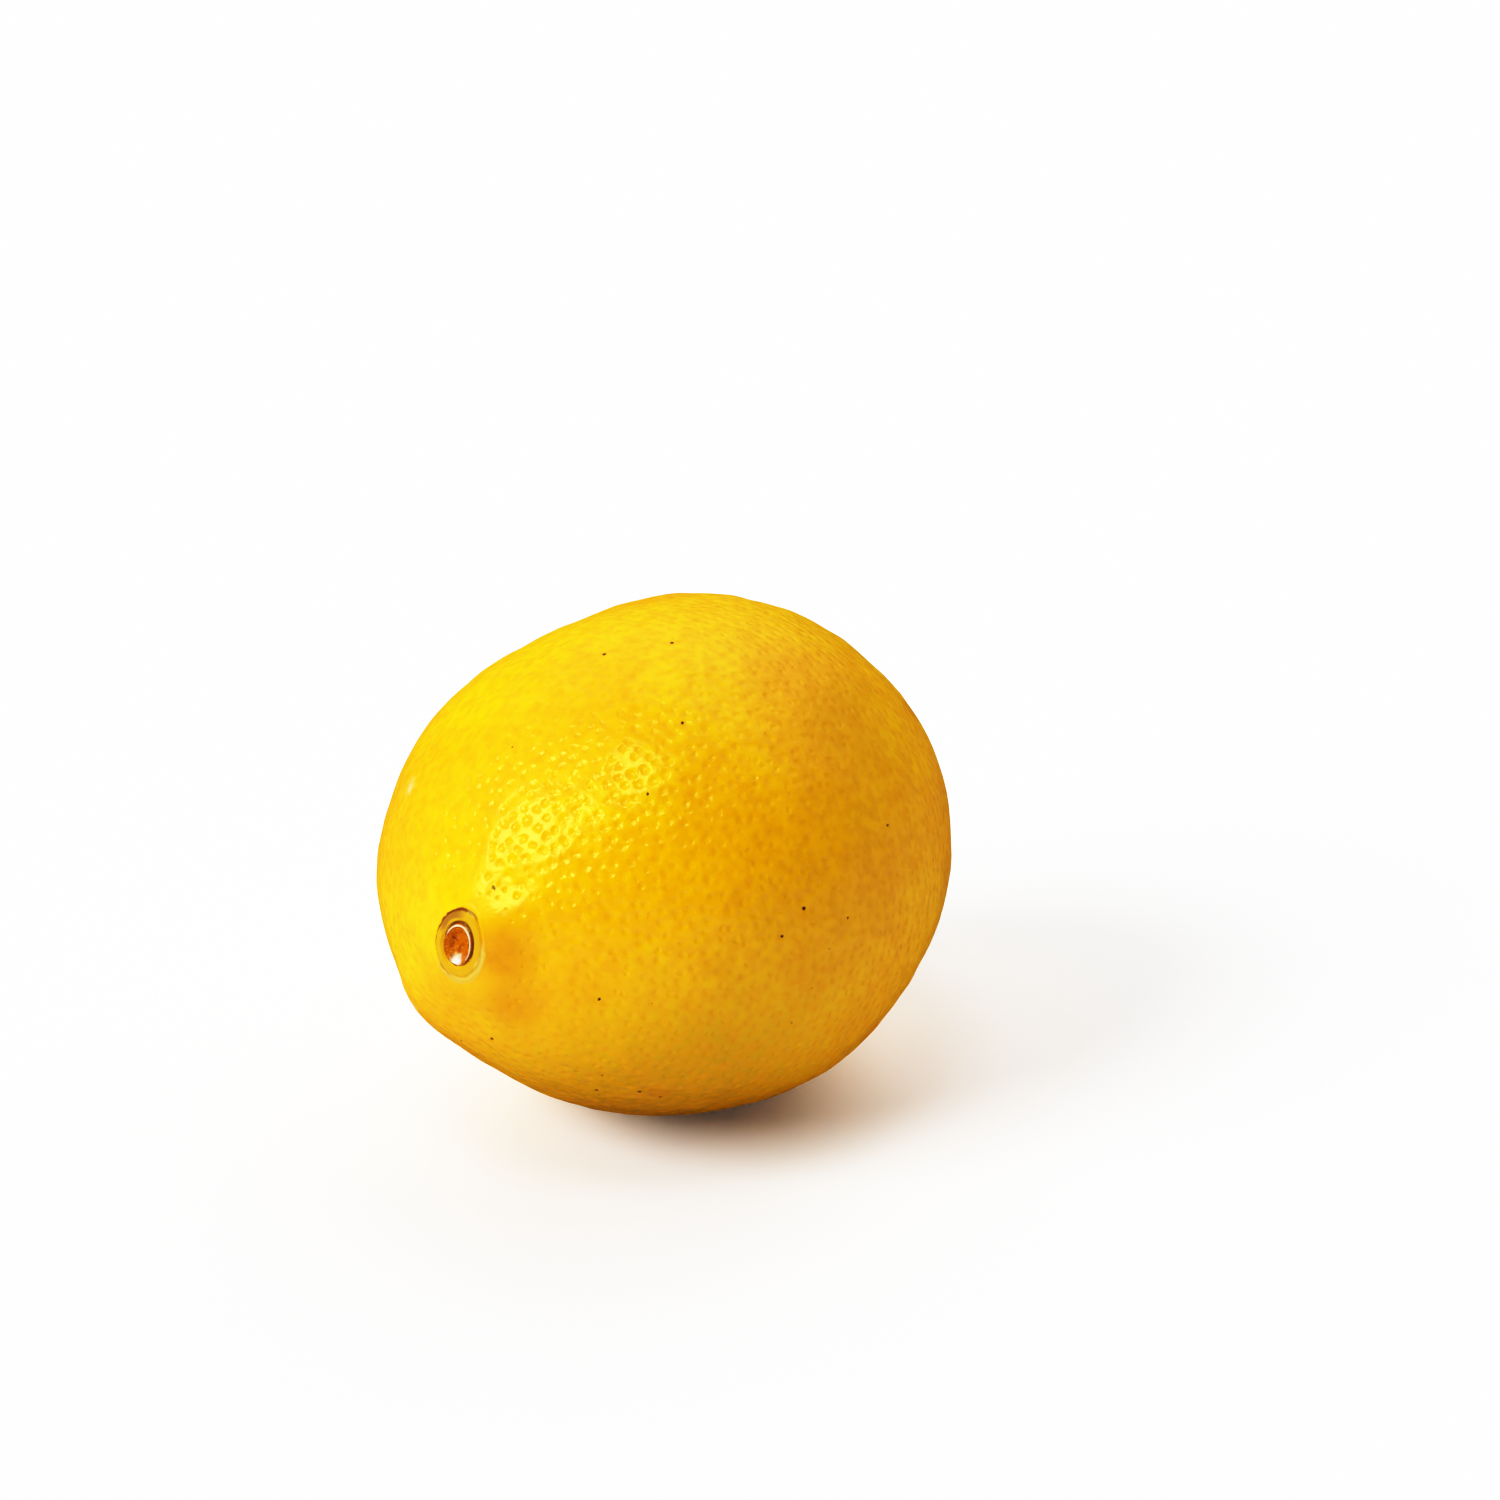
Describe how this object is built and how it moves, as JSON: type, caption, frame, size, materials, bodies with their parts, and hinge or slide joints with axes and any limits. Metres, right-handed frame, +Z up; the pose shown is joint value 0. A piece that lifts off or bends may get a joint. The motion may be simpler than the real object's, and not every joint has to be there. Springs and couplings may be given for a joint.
{
  "type": "lemon",
  "caption": "Whole ripe lemon lying on its side, nearly round, with a shallow stem scar at one end and a low blunt tip at the other, resting on a small flat spot.",
  "frame": {"origin": "on the resting plane, under the middle of the fruit's bounding box", "axes": "+X along the fruit from the stem end to the stylar tip, +Y across it, +Z up"},
  "size_m": [0.0732, 0.0626, 0.0583],
  "materials": {
    "peel": "waxy lemon peel, deep yellow with orange tints, dotted with fine oil glands"
  },
  "bodies": {
    "root": {"lemon_fruit": "peel"}
  },
  "joints": []
}
